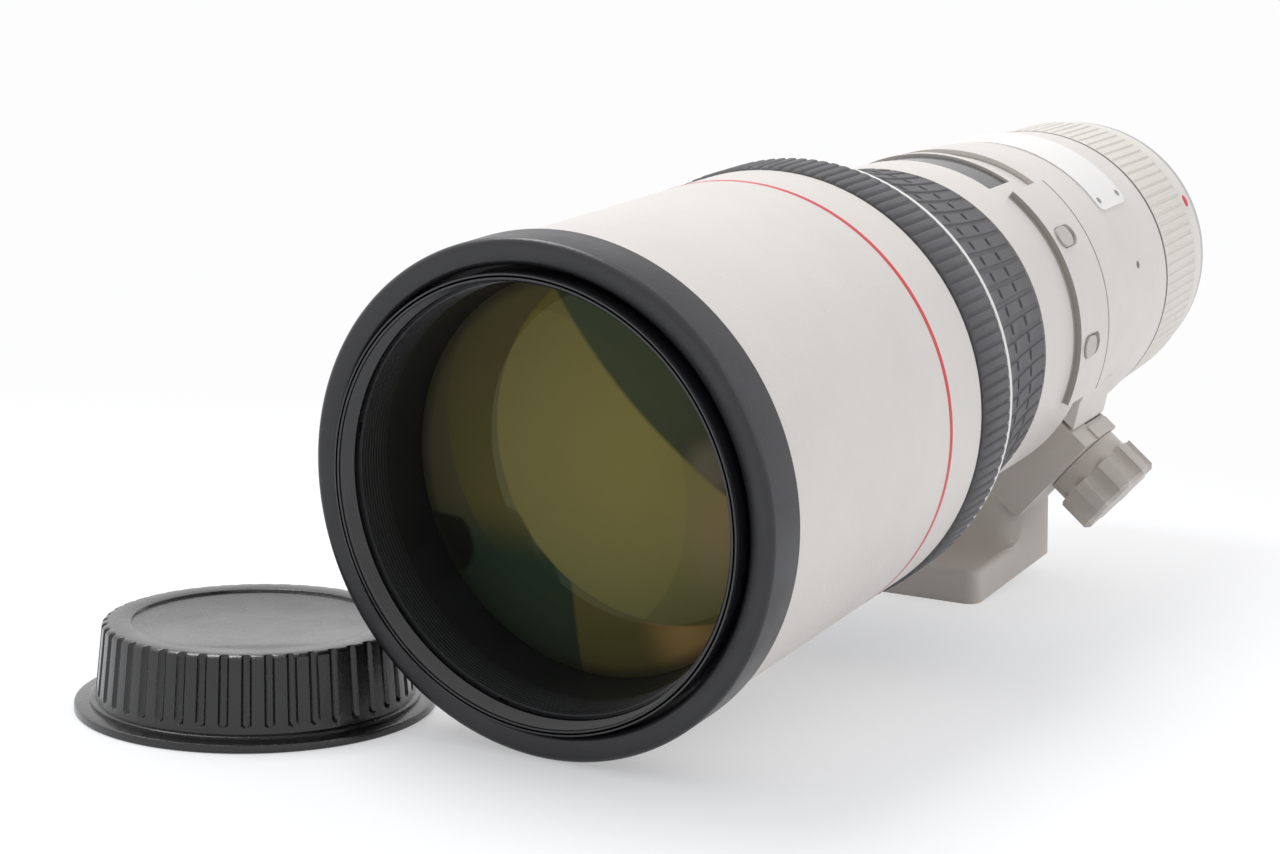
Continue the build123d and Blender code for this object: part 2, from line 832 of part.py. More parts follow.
# The stem flares into the toe: each step is a height and the place of the front face there
toe_top = foot_bottom + foot_toe_height
stem_steps = [(toe_top - foot_edge_round, collar_front - foot_blend)]
for step in range(foot_blend_steps + 1):
    turn = math.pi / 2 * step / foot_blend_steps
    stem_steps.append((
        toe_top + foot_blend * (1 - math.cos(turn)), collar_front - foot_blend * (1 - math.sin(turn)),
    ))
stem_steps.append((foot_stem_top, collar_front))


def foot_outline(height, front, corner):
    """The foot's plan at a height: straight sides and back, and front corners of a given radius."""
    with BuildSketch(Plane.XY.offset(height)) as plan:
        with BuildLine():
            Polyline(
                (-foot_half_width, front), (foot_half_width, front),
                (foot_half_width, foot_back), (-foot_half_width, foot_back), close=True,
            )
        make_face()
        fillet(plan.vertices().group_by(Axis.Y)[0], corner)
        fillet(plan.vertices().group_by(Axis.Y)[-1], foot_corner)
    return plan.sketch


# Foot half of the collar: ring half, clamp lug, stem and base in one casting
with BuildPart() as collar_foot:
    extrude(foot_outline(foot_bottom, foot_front, foot_corner), amount=foot_toe_height)
    fillet(faces().sort_by(Axis.Z)[-1].edges(), foot_edge_round)
    turned(
        (collar_front, collar_bore - slide_gap),
        (collar_front, collar_front_radius),
        (collar_back, collar_rear_radius),
        (collar_back, collar_bore - slide_gap),
    )
    prism(
        collar_front, collar_back,
        (at(-far, split_offset), at(far, split_offset), at(far, far), at(-far, far)), mode=Mode.SUBTRACT,
    )
    on_hinge(knuckle_front_end, knuckle_back_end, knuckle_radius + knuckle_relief, mode=Mode.SUBTRACT)
    on_hinge(collar_front, knuckle_front_end, knuckle_radius)
    on_hinge(knuckle_back_end, collar_back, knuckle_radius)
    on_hinge(collar_front, collar_back, hinge_pin_radius, mode=Mode.SUBTRACT)
    with BuildSketch(lug_plane):
        with BuildLine():
            Polyline(
                (collar_front, clamp_face), (collar_front, collar_bore - lug_root),
                (collar_back, collar_bore - lug_root), (collar_back, clamp_face), close=True,
            )
        make_face()
        fillet(vertices().sort_by(Axis(lug_plane.origin, lug_corner_way))[-1], lug_corner)
    extrude(amount=split_offset - lug_low)
    loft([foot_outline(height, front, foot_stem_corner) for height, front in stem_steps], ruled=True)
    tube(collar_back, foot_back, plate_radius + slide_gap, mode=Mode.SUBTRACT)
    tube(collar_front, collar_back, collar_bore, mode=Mode.SUBTRACT)
    tongue_arc(
        tongue_front - slide_gap, tongue_back + slide_gap, slide_gap, -tongue_reach - slide_gap,
        split_offset + slide_gap, mode=Mode.SUBTRACT,
    )
    with BuildSketch(across_clamp(tongue_radius - 2)):
        Circle(stem_radius + turn_gap)
    extrude(amount=2 * tongue_thickness, mode=Mode.SUBTRACT)
    with BuildSketch(across_clamp(tongue_radius + tongue_thickness)):
        Circle(sleeve_radius + turn_gap)
    extrude(amount=clamp_face, mode=Mode.SUBTRACT)
    with BuildSketch(Plane.XY.offset(foot_bottom)):
        with Locations((0, foot_front + bush_from_front)):
            Circle(bush_radius)
    extrude(amount=bush_length, mode=Mode.SUBTRACT)
save(collar_foot, "collar_foot")

with BuildPart() as tripod_bush:
    with BuildSketch(Plane.XY.offset(foot_bottom)):
        with Locations((0, foot_front + bush_from_front)):
            Circle(bush_radius)
            Circle(bush_hole, mode=Mode.SUBTRACT)
    extrude(amount=bush_length)
save(tripod_bush, "tripod_bush")

with BuildPart() as hinge_pin:
    on_hinge(collar_front, collar_back, hinge_pin_radius)
save(hinge_pin, "hinge_pin")

latch_x = clamp_face - latch_width - seat_gap
latch_top = split_offset + latch_thickness
with BuildPart() as latch_plate:
    prism(
        clamp_y - latch_length / 2, clamp_y + latch_length / 2 - 1,
        (
            at(latch_x, split_offset), at(latch_x + latch_width, split_offset),
            at(latch_x + latch_width, latch_top), at(latch_x, latch_top),
        ),
    )
save(latch_plate, "latch_plate")

# Clamp: a sleeve that slides in the lug, and the knob with its stem that turns in the sleeve
sleeve_start = tongue_radius + tongue_thickness + slide_gap
with BuildPart() as clamp_sleeve:
    with BuildSketch(across_clamp(sleeve_start)):
        Circle(sleeve_radius)
        Circle(stem_radius + turn_gap, mode=Mode.SUBTRACT)
    extrude(amount=sleeve_length)
save(clamp_sleeve, "clamp_sleeve")

stem_start = tongue_radius - 1
neck_start = clamp_face + turn_gap
grip_start = neck_start + knob_neck_length
with BuildPart() as clamp_knob:
    with BuildSketch(across_clamp(stem_start)):
        Circle(stem_radius)
    extrude(amount=neck_start - stem_start)
    with BuildSketch(across_clamp(neck_start)):
        Circle(knob_neck_radius)
    extrude(amount=knob_neck_length)
    with BuildSketch(across_clamp(grip_start)):
        Circle(knob_radius)
        with PolarLocations(knob_radius + knob_flute_sunk, knob_flute_count):
            Circle(knob_flute_radius, mode=Mode.SUBTRACT)
    extrude(amount=knob_grip_length)
    chamfer(faces().sort_by(Axis((0, 0, 0), (out_x, 0, out_z)))[-1].edges(), knob_chamfer)
save(clamp_knob, "clamp_knob")

# The surface that the lens rests on touches the hood's rim and the foot's front edge
rim_y = hood_front + hood_edge_chamfer
rest_slope = (-foot_bottom - hood_front_radius) / (foot_front - rim_y)
cap_y = hood_front + cap_from_front
cap_z = -hood_front_radius - rest_slope * (cap_y - rim_y)
rest_up = Vector(0, rest_slope, 1).normalized()
cap_profile_plane = Plane(origin=(cap_x, cap_y, cap_z), x_dir=(1, 0, 0), z_dir=(0, -rest_up.Z, rest_up.Y))
cap_floor = cap_height - cap_recess_depth
with BuildPart() as rear_cap:
    with BuildSketch(cap_profile_plane):
        with BuildLine():
            Polyline(
                (cap_inner, 0), (cap_flange_radius, 0), (cap_flange_radius, cap_flange_height),
                (cap_body_radius + cap_step_width, cap_flange_height),
                (cap_body_radius + cap_step_width, cap_flange_height + cap_step_height),
                (cap_body_radius, cap_flange_height + cap_step_height), (cap_top_radius, cap_shoulder),
                (cap_top_radius - cap_edge_chamfer, cap_height), (cap_top_radius - cap_rim_width, cap_height),
                (cap_top_radius - cap_rim_width, cap_floor), (0, cap_floor), (0, cap_floor - cap_top_wall),
                (cap_throat, cap_floor - cap_top_wall), (cap_throat, cap_tab_room), (cap_inner, cap_tab_room),
                close=True,
            )
        make_face()
    revolve(axis=Axis((cap_x, cap_y, cap_z), rest_up))
    grooves(
        spokes(cap_groove_count, (cap_x, cap_y, cap_z), rest_up), cap_groove_width,
        (cap_groove_start, cap_body_radius - cap_groove_depth), (cap_height + 1, cap_top_radius - cap_groove_depth),
        (cap_height + 1, cap_body_radius + 1), (cap_groove_start, cap_body_radius + 1),
    )
save(rear_cap, "rear_cap")
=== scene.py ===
"""Looks of the telephoto lens: materials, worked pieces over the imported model, floor and light."""

import math

import bpy
from mathutils import Matrix, Vector


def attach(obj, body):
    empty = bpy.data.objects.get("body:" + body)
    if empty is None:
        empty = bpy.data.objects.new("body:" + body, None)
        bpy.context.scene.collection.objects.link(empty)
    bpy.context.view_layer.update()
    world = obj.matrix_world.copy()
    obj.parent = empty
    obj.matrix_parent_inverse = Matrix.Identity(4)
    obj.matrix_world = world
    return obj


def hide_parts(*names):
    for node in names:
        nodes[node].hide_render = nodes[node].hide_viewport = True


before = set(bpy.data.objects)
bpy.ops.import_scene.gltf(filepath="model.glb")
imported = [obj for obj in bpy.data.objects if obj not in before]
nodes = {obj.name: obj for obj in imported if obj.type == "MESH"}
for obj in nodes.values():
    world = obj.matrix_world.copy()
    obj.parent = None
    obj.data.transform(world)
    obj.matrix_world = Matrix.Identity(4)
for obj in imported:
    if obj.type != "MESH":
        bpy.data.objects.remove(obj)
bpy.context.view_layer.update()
MM = 0.001
FLANGE = 254.7  # the mount flange's distance behind the hood's front face, in mm
SMOOTH_ANGLE = 28  # degrees: a sharper edge than this shows as an edge


# Camera: solved from the photograph's edges
FOCAL_LENGTH, SENSOR_WIDTH = 67.94, 36.0
CAMERA_PLACE = (0.2133, -0.5750, 0.1119)
CAMERA_RIGHT, CAMERA_UP = (0.8613, 0.5073, -0.0291), (-0.1022, 0.2290, 0.9681)
CAMERA_BACK = (0.4978, -0.8308, 0.2490)
camera_data = bpy.data.cameras.new("camera")
camera = bpy.data.objects.new("camera", camera_data)
bpy.context.scene.collection.objects.link(camera)
camera_data.lens = FOCAL_LENGTH
camera_data.sensor_width = SENSOR_WIDTH
camera_data.sensor_fit = "HORIZONTAL"
camera_data.clip_start = 0.01
camera_data.clip_end = 20.0
camera_rows = zip(CAMERA_RIGHT, CAMERA_UP, CAMERA_BACK, CAMERA_PLACE)
camera.matrix_world = Matrix((*camera_rows, (0, 0, 0, 1)))
bpy.context.scene.camera = camera
bpy.context.scene.view_settings.view_transform = "Standard"


# Node helpers
def linear(value):
    value = value / 255
    return value / 12.92 if value <= 0.04045 else ((value + 0.055) / 1.055) ** 2.4


def rgb(r, g, b):
    return (linear(r), linear(g), linear(b), 1.0)


def shade(color, share):
    return tuple(min(1.0, channel * share) for channel in color[:3]) + (1.0,)


def link(tree, source, target):
    tree.links.new(source, target)


def coordinates(tree, kind="Object"):
    return tree.nodes.new("ShaderNodeTexCoord").outputs[kind]


def noise(tree, place, scale, detail=3.0, rough=0.5):
    node = tree.nodes.new("ShaderNodeTexNoise")
    node.inputs["Scale"].default_value = scale
    node.inputs["Detail"].default_value = detail
    node.inputs["Roughness"].default_value = rough
    link(tree, place, node.inputs["Vector"])
    return node.outputs["Fac"]


def remap(tree, value, low, high, to_low, to_high, smooth=False):
    node = tree.nodes.new("ShaderNodeMapRange")
    node.interpolation_type = "SMOOTHSTEP" if smooth else "LINEAR"
    ends = (("From Min", low), ("From Max", high), ("To Min", to_low), ("To Max", to_high))
    for socket, number in ends:
        node.inputs[socket].default_value = number
    link(tree, value, node.inputs["Value"])
    return node.outputs["Result"]


def blend_color(tree, share, one, two):
    """Mixes two colours, each a constant or a socket, by a socket's share."""
    node = tree.nodes.new("ShaderNodeMix")
    node.data_type = "RGBA"
    link(tree, share, node.inputs["Factor"])
    for socket, color in ((node.inputs[6], one), (node.inputs[7], two)):
        if isinstance(color, tuple):
            socket.default_value = color
        else:
            link(tree, color, socket)
    return node.outputs[2]


def calculate(tree, operation, one, two):
    node = tree.nodes.new("ShaderNodeMath")
    node.operation = operation
    link(tree, one, node.inputs[0])
    link(tree, two, node.inputs[1])
    return node.outputs["Value"]


def both(tree, one, two):
    return calculate(tree, "MULTIPLY", one, two)


def either(tree, one, two):
    return calculate(tree, "MAXIMUM", one, two)


def vector_math(tree, operation, vector, constant=None):
    node = tree.nodes.new("ShaderNodeVectorMath")
    node.operation = operation
    link(tree, vector, node.inputs[0])
    if constant is not None:
        node.inputs[1].default_value = constant
    return node.outputs


def across_axis(tree):
    """The place across the lens's axis, in millimetres."""
    return vector_math(tree, "MULTIPLY", coordinates(tree), (1000.0, 0.0, 1000.0))["Vector"]


def shows_backdrop(tree):
    """1 for rays that show the backdrop as it is: the camera's, a reflection's and through glass."""
    path = tree.nodes.new("ShaderNodeLightPath")
    seen = either(tree, path.outputs["Is Camera Ray"], path.outputs["Is Glossy Ray"])
    return either(tree, seen, path.outputs["Is Transmission Ray"])


def new_material(name):
    mat = bpy.data.materials.new(name)
    mat.use_nodes = True
    return mat, mat.node_tree, mat.node_tree.nodes["Principled BSDF"]


# Materials. Noise scales are in turns per metre.
MOTTLE_SCALE, GLOSS_SCALE, SPECK_SCALE = 45.0, 120.0, 260.0
GRAIN_HEIGHT = 0.0004
COAT_ROUGHNESS = 0.12


def material(name, color, rough=0.5, metal=0.0, coat=0.0, bump=0.1, grain=900.0, spec=0.5,
             mottle=0.06, wear=0.0, wear_color=None, rough_vary=0.06):
    """A worked surface: faint mottling, uneven gloss, a fine grain, and sparse rubbed specks."""
    mat, tree, shader = new_material(name)
    shader.inputs["Metallic"].default_value = metal
    shader.inputs["Specular IOR Level"].default_value = spec
    if coat:
        shader.inputs["Coat Weight"].default_value = coat
        shader.inputs["Coat Roughness"].default_value = COAT_ROUGHNESS
    place = coordinates(tree)
    mottled = remap(tree, noise(tree, place, MOTTLE_SCALE, 4.0, 0.6), 0.3, 0.7, 0.0, 1.0)
    tone = blend_color(tree, mottled, shade(color, 1 - mottle), shade(color, 1 + mottle / 2))
    if wear:
        specks = noise(tree, place, SPECK_SCALE, 6.0, 0.75)
        rubbed = remap(tree, specks, 0.68 - 0.06 * wear, 0.74, 0.0, 0.6)
        tone = blend_color(tree, rubbed, tone, wear_color)
    link(tree, tone, shader.inputs["Base Color"])
    gloss = noise(tree, place, GLOSS_SCALE)
    uneven = remap(tree, gloss, 0.3, 0.7, rough - rough_vary, rough + rough_vary)
    link(tree, uneven, shader.inputs["Roughness"])
    height = tree.nodes.new("ShaderNodeBump")
    height.inputs["Strength"].default_value = bump
    height.inputs["Distance"].default_value = GRAIN_HEIGHT
    link(tree, noise(tree, place, grain), height.inputs["Height"])
    link(tree, height.outputs["Normal"], shader.inputs["Normal"])
    return mat


def white_paint(name):
    return material(name, rgb(215, 209, 204), 0.4, bump=0.2, grain=1300.0, mottle=0.03, wear=0.2,
                    wear_color=rgb(188, 180, 166))


def blacken_inside(mat, radius, black):
    """Turns a turned part's paint black inside a radius from the lens's axis, in millimetres."""
    tree = mat.node_tree
    shader = tree.nodes["Principled BSDF"]
    painted = shader.inputs["Base Color"].links[0].from_socket
    span = vector_math(tree, "LENGTH", across_axis(tree))["Value"]
    outer = remap(tree, span, radius - 0.1, radius + 0.1, 0.0, 1.0)
    link(tree, blend_color(tree, outer, black, painted), shader.inputs["Base Color"])


white = white_paint("white_paint")
hood_white = white_paint("hood_paint")
blacken_inside(hood_white, 43.0, rgb(24, 24, 25))
ring_white = material("ring_paint", rgb(217, 212, 204), 0.45, bump=0.2, grain=1300.0,
                      mottle=0.03, wear=0.3, wear_color=rgb(180, 172, 160))
plate = material("plate_enamel", rgb(233, 231, 229), 0.3, bump=0.05, mottle=0.02)
# Greyer than the barrel's white: partly the foot's own greyer paint, partly painted shade for the
# faces that turn away from the light.
foot_paint_and_shade = material("foot_paint_and_shade", rgb(196, 188, 181), 0.45, bump=0.2, grain=1100.0,
                      mottle=0.04, wear=0.3, wear_color=rgb(160, 153, 142))
black_ring = material("black_ring", rgb(32, 32, 36), 0.36, bump=0.12, grain=2200.0, mottle=0.12,
                      wear=0.4, spec=0.55, wear_color=rgb(84, 84, 86))
inner_black = material("inner_black", rgb(26, 26, 28), 0.4, bump=0.1, mottle=0.15, spec=0.7)
funnel_black = material("funnel_black", rgb(58, 58, 61), 0.34, bump=0.06, mottle=0.1, spec=0.8)
trim_black = material("trim_black", rgb(30, 30, 33), 0.22, spec=0.7, bump=0.06, mottle=0.1,
                      wear=0.2, wear_color=rgb(60, 60, 62))
rubber = material("grip_rubber", rgb(85, 84, 87), 0.62, bump=0.2, grain=2600.0, mottle=0.1,
                  wear=0.5, wear_color=rgb(118, 118, 120))
cap_plastic = material("cap_plastic", rgb(14, 14, 16), 0.28, spec=0.4, coat=0.5, bump=0.25,
                       grain=2400.0, mottle=0.12, wear=0.25, wear_color=rgb(72, 72, 74))
red_line = material("red_line", rgb(206, 36, 44), 0.35, bump=0.03, mottle=0.05)
band_white = material("band_white", rgb(232, 230, 226), 0.35, bump=0.04, mottle=0.03)
switch_grey = material("switch_grey", rgb(190, 185, 178), 0.45, bump=0.08, mottle=0.03)
window_grey = material("window_grey", rgb(92, 90, 90), 0.12, bump=0.01, mottle=0.2,
                       rough_vary=0.03)
# Black for the distance scale's drum; the same black is painted shade in the thin line where the
# hood's rubber meets the hood.
drum_black_and_edge_shade = material("drum_black_and_edge_shade", rgb(20, 20, 21), 0.6, mottle=0.1)
chrome = material("mount_chrome", rgb(184, 184, 184), 0.2, metal=1.0, bump=0.02, mottle=0.06,
                  rough_vary=0.05)
steel = material("screw_steel", rgb(150, 149, 147), 0.3, metal=1.0, bump=0.04, mottle=0.08)
brass = material("bare_brass", rgb(203, 168, 92), 0.3, metal=1.0, bump=0.06, mottle=0.08)
# A darker tone for the switch panel's front wall: painted shade where the wall faces away from the
# light.
panel_painted_shade = material("panel_painted_shade", rgb(160, 153, 145), 0.5, bump=0.12, mottle=0.04)
# Grey for the barrel screw's head; the same grey is painted shade on the switch slots' floors and in
# the line behind the switch panel.
screw_grey_and_painted_shade = material("screw_grey_and_painted_shade", rgb(112, 107, 101), 0.5, bump=0.08, mottle=0.05)
# Painted shade for the dark gap where the rear ring meets its barrel.
gap_shade_grey = material("gap_shade_grey", rgb(78, 74, 70), 0.6, bump=0.1, mottle=0.15)
contact_black = material("contact_black", rgb(24, 24, 25), 0.45, bump=0.12, mottle=0.12)


# Glass. The discs of painted reflection, painted glow and painted shade seen in the glass are (x, z,
# radius) on the glass, in mm.
GLASS_SPECULAR, GLASS_TINT = 0.22, (0.75, 0.9, 0.6, 1.0)
DUST_SCALE = 900.0
OLIVE_DISC = (4.5, 8.4, 33.8)
LIT_DISC = (14.4, 8.1, 32.2)
MIDDLE_DISC = (-10.7, -1.5, 30.6)
DARK_DISC = (116.7, 124.3, 153.0)
GLOW_DISC = (31.0, -7.0, 9.0)
AMBER_DISC = (19.0, -27.0, 6.0)
FLARE_DISC = (24.5, 5.0, 4.0)
NOTCH_DISC = (-31.5, -15.0, 6.5)
RIM_DISC = (0.0, 0.0, 34.6)


def coated_glass(name, paint):
    """Dark glass. paint(tree, place) gives its colour: painted reflections and painted light seen in
    the glass.
    """
    mat, tree, shader = new_material(name)
    shader.inputs["Specular IOR Level"].default_value = GLASS_SPECULAR
    shader.inputs["Specular Tint"].default_value = GLASS_TINT
    link(tree, paint(tree, across_axis(tree)), shader.inputs["Base Color"])
    dust = noise(tree, coordinates(tree), DUST_SCALE, 5.0, 0.8)
    link(tree, remap(tree, dust, 0.62, 0.78, 0.03, 0.16), shader.inputs["Roughness"])
    return mat


def disc(tree, place, circle, soft, inside, outside=0.0):
    """A share that is inside's within a circle on the glass and outside's beyond it."""
    x, z, radius = circle
    span = vector_math(tree, "DISTANCE", place, (x, 0.0, z))["Value"]
    return remap(tree, span, radius - soft, radius + soft, inside, outside, True)


def front_glass_colors(tree, place):
    """Painted reflections and painted light lie over one another: olive in the middle, green below,
    amber beside it, with a painted glow and a painted flare.
    """
    axes = tree.nodes.new("ShaderNodeSeparateXYZ")
    link(tree, place, axes.inputs["Vector"])

    def along(axis, low, high, to_low=0.0, to_high=1.0, smooth=True):
        return remap(tree, axes.outputs[axis], low, high, to_low, to_high, smooth)

    def spot(*circle):
        return disc(tree, place, *circle)

    def lay(share, one, two):
        return blend_color(tree, share, one, two)

    tone = lay(along("Z", 6.0, 26.0), rgb(80, 77, 56), rgb(86, 74, 55))
    olive = lay(along("Z", -6.0, 24.0), rgb(92, 87, 48), rgb(88, 81, 52))
    tone = lay(spot(OLIVE_DISC, 0.35, 0.85), tone, olive)
    lit = lay(along("X", -16.0, 14.0), rgb(104, 96, 48), rgb(120, 110, 56))
    lit = lay(along("Z", -32.0, 4.0, 0.7, 0.0), lit, rgb(74, 84, 52))
    tone = lay(spot(LIT_DISC, 0.3, 0.9), tone, lit)
    middle = both(tree, spot(MIDDLE_DISC, 0.3, 1.0), spot(LIT_DISC, 0.3, 1.0))
    tone = lay(remap(tree, middle, 0.0, 1.0, 0.0, 0.3), tone, rgb(136, 125, 66))
    edge = both(tree, spot(LIT_DISC, 0.3, 0.0, 1.0), along("Z", -5.0, -17.0))
    green = both(tree, edge, along("Z", -36.0, -18.0, 0.75, 0.9, False))
    tone = lay(green, tone, rgb(38, 55, 45))
    amber = both(tree, along("X", -3.9, -3.3, 0.0, 0.8, False), edge)
    tone = lay(amber, tone, rgb(98, 90, 50))
    tone = lay(both(tree, spot(AMBER_DISC, 5.0, 0.7), amber), tone, rgb(190, 150, 96))
    tone = lay(spot(GLOW_DISC, 9.0, 0.6), tone, rgb(150, 122, 96))
    dark = spot(DARK_DISC, 0.5, 0.9)
    tone = lay(dark, tone, lay(along("Z", 0.0, 30.0), rgb(30, 32, 25), rgb(44, 56, 40)))
    tone = lay(both(tree, spot(FLARE_DISC, 2.4, 0.4), dark), tone, rgb(140, 122, 104))
    notch = both(tree, spot(NOTCH_DISC, 0.8, 0.85), along("Z", -9.8, -10.6, 0.0, 1.0, False))
    tone = lay(notch, tone, rgb(26, 22, 22))
    return lay(spot(RIM_DISC, 1.4, 0.0, 0.7), tone, rgb(40, 42, 36))


def deep_glass_colors(tree, place):
    """Glass seen from the rear: near black, with one faint green disc and one faint violet disc of
    painted reflection.
    """
    green = disc(tree, place, (3.0, 4.0, 12.0), 0.4, 0.8)
    violet = disc(tree, place, (-5.0, -4.0, 8.0), 0.4, 0.5)
    tone = blend_color(tree, green, rgb(26, 30, 27), rgb(46, 62, 50))
    return blend_color(tree, violet, tone, rgb(62, 50, 74))


glass = coated_glass("coated_glass", front_glass_colors)
hidden_glass = coated_glass("hidden_glass", deep_glass_colors)

finishes = {
    "hood_tube": hood_white, "hood_front_ring": black_ring, "hood_grip": rubber,
    "hood_shoes": brass, "front_barrel": inner_black, "filter_ring": trim_black,
    "trim_ring": inner_black, "front_glass": glass, "main_barrel": white,
    "window_glass": window_grey, "focus_switch": switch_grey, "range_switch": switch_grey,
    "focus_ring": rubber, "scale_drum": drum_black_and_edge_shade, "focus_cell": inner_black,
    "focus_glass": hidden_glass, "rear_barrel": white, "nameplate": plate,
    "rear_ring": ring_white, "mount_dot": red_line, "mount_plate": chrome,
    "mount_screws": steel, "rear_baffle": contact_black, "contact_block": contact_black,
    "contact_pins": brass, "rear_cell": inner_black, "rear_glass": hidden_glass,
    "collar_strap": white, "collar_foot": foot_paint_and_shade, "tripod_bush": steel,
    "hinge_pin": steel, "latch_plate": foot_paint_and_shade, "clamp_sleeve": steel,
    "clamp_knob": foot_paint_and_shade, "rear_cap": cap_plastic,
}
WELD_DISTANCE = 0.000002
for name, node in nodes.items():
    node.data.materials.clear()
    node.data.materials.append(finishes[name])
    node.data.polygons.foreach_set("use_smooth", [True] * len(node.data.polygons))
    weld = node.modifiers.new("weld", "WELD")
    weld.merge_threshold = WELD_DISTANCE
    split = node.modifiers.new("split", "EDGE_SPLIT")
    split.split_angle = math.radians(SMOOTH_ANGLE)


# Helpers for turned pieces. Stations s run back from the hood's front face, in mm.
ROUND_STEPS = 256
TINY = 1e-6


def new_mesh(name, verts, faces, mat, body, flat=False, sharp=SMOOTH_ANGLE):
    mesh = bpy.data.meshes.new(name)
    mesh.from_pydata(verts, [], faces)
    mesh.validate()
    mesh.update()
    obj = bpy.data.objects.new(name, mesh)
    bpy.context.scene.collection.objects.link(obj)
    mesh.materials.append(mat)
    if not flat:
        mesh.polygons.foreach_set("use_smooth", [True] * len(mesh.polygons))
        mesh.set_sharp_from_angle(angle=math.radians(sharp))
    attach(obj, body)
    return obj


def point(s, radius, angle):
    turn = math.radians(angle)
    return (radius * math.sin(turn) * MM, (s - FLANGE) * MM, radius * math.cos(turn) * MM)


def lathe(name, profile, mat, body, angles=None, closed=True, radius=None, sharp=SMOOTH_ANGLE):
    """A turned skin through (s, r) points. radius(i, angle, r) can change r round the axis."""
    angles = angles or [k * 360 / ROUND_STEPS for k in range(ROUND_STEPS)]
    verts, faces = [], []
    for i, (s, r) in enumerate(profile):
        for angle in angles:
            verts.append(point(s, radius(i, angle, r) if radius else r, angle))
    n = len(angles)
    for i in range(len(profile) - 1):
        for j in range(n if closed else n - 1):
            k = (j + 1) % n
            faces.append((i * n + j, i * n + k, (i + 1) * n + k, (i + 1) * n + j))
    return new_mesh(name, verts, faces, mat, body, sharp=sharp)


def rib_angles(count, marks):
    """Angles at the given shares of each rib's pitch."""
    return [360 * (k + mark) / count for k in range(count) for mark in marks]


def pitch_share(angle, count):
    """How far an angle is into its rib's pitch, from 0 to 1."""
    return (angle * count / 360) % 1.0


# Hood front ring: a rounded outer edge and a shallow step inside
RING_RADIUS, RING_EDGE, EDGE_STEPS = 45.0, 1.2, 9
ring_profile = [(9.7, 41.75), (9.7, 44.7), (9.45, 44.98)]
for k in range(EDGE_STEPS):
    turn = math.radians(11.25 * k)
    ring_profile.append((
        RING_EDGE - RING_EDGE * math.sin(turn),
        RING_RADIUS - RING_EDGE + RING_EDGE * math.cos(turn),
    ))
ring_profile += [
    (0.03, 43.4), (0.25, 41.3), (0.4, 40.9), (0.75, 40.55), (1.2, 40.4), (1.5, 40.4), (1.7, 40.6),
    (2.2, 41.75), (9.7, 41.75),
]
front_ring = lathe("hood_front_round", ring_profile, black_ring, "hood", sharp=40)
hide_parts("hood_front_ring")

# Hood grip: fine ribs along the axis
GRIP_RIBS = 120
grip_marks = (0.0, 0.08, 0.2, 0.56, 0.68, 0.78)
grip_drops = (0.4, 0.05, 0.0, 0.0, 0.05, 0.4)
grip_profile = [
    (87.15, 42.9), (87.15, 43.4), (87.5, 43.95), (88.0, 44.38), (99.2, 44.38), (99.6, 43.95),
    (99.88, 43.4), (99.88, 42.9),
]
GRIP_RIBBED_ROWS = (2, 3, 4, 5)


def grip_radius(i, angle, r):
    if i not in GRIP_RIBBED_ROWS:
        return r
    share = pitch_share(angle, GRIP_RIBS)
    nearest = min(range(len(grip_marks)), key=lambda k: abs(grip_marks[k] - share))
    return r - grip_drops[nearest]


hood_grip = lathe("hood_grip_ribs", grip_profile, rubber, "hood",
                  rib_angles(GRIP_RIBS, grip_marks), radius=grip_radius, sharp=50)
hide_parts("hood_grip")

# Focus ring: wide ribs, each cut by two short notches
FOCUS_RIBS = 69
focus_profile = [
    (101.45, 36.0), (101.45, 43.1), (101.8, 43.7), (104.0, 42.65), (107.0, 41.65), (110.0, 40.9),
    (112.7, 40.45), (113.1, 40.4), (113.9, 40.28), (114.3, 40.2), (118.0, 39.5), (121.5, 38.95),
    (124.0, 38.55), (124.4, 38.5), (125.2, 38.4), (125.6, 38.35), (129.0, 37.9), (133.0, 37.45),
    (135.8, 37.15), (136.3, 36.8), (136.3, 36.0),
]
FOCUS_END = len(focus_profile) - 1
NOTCH_ROWS = (7, 8, 13, 14)
LAND_START, NOTCH_START, NOTCH_END, LAND_END = 0.05, 0.14, 0.52, 0.72
FOCUS_GROOVE, FOCUS_NOTCH, FOCUS_EDGE = 0.32, 0.7, 0.3
focus_marks = (0.0, LAND_START, NOTCH_START, NOTCH_END, 0.66, LAND_END, 0.78, 0.94)


def focus_radius(i, angle, r):
    if i in (0, FOCUS_END):
        return r
    if i in (1, FOCUS_END - 1):
        return r - FOCUS_EDGE
    share = pitch_share(angle, FOCUS_RIBS)
    if not LAND_START - TINY <= share <= LAND_END + TINY:
        return r - FOCUS_GROOVE
    if i in NOTCH_ROWS and NOTCH_START - TINY <= share <= NOTCH_END + TINY:
        return r - FOCUS_NOTCH
    return r


focus_grip = lathe("focus_ring_ribs", focus_profile, rubber, "focus_grip",
                   rib_angles(FOCUS_RIBS, focus_marks), radius=focus_radius, sharp=24)
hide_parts("focus_ring")

# Rear ring: long shallow ribs over its front part
REAR_RIBS = 90
REAR_RIBBED_ROWS = (4, 5)
REAR_GROOVE_START, REAR_GROOVE = 0.74, 0.28
rear_profile = [
    (222.3, 31.0), (222.3, 33.7), (222.5, 33.9), (223.2, 33.87), (223.7, 33.86), (243.4, 33.42),
    (244.2, 33.4), (245.0, 33.37), (248.5, 32.85), (252.6, 32.2), (252.95, 32.0), (252.95, 29.5),
]


def rear_radius(i, angle, r):
    share = pitch_share(angle, REAR_RIBS)
    in_groove = share >= REAR_GROOVE_START - TINY or share <= TINY
    return r - REAR_GROOVE if i in REAR_RIBBED_ROWS and in_groove else r


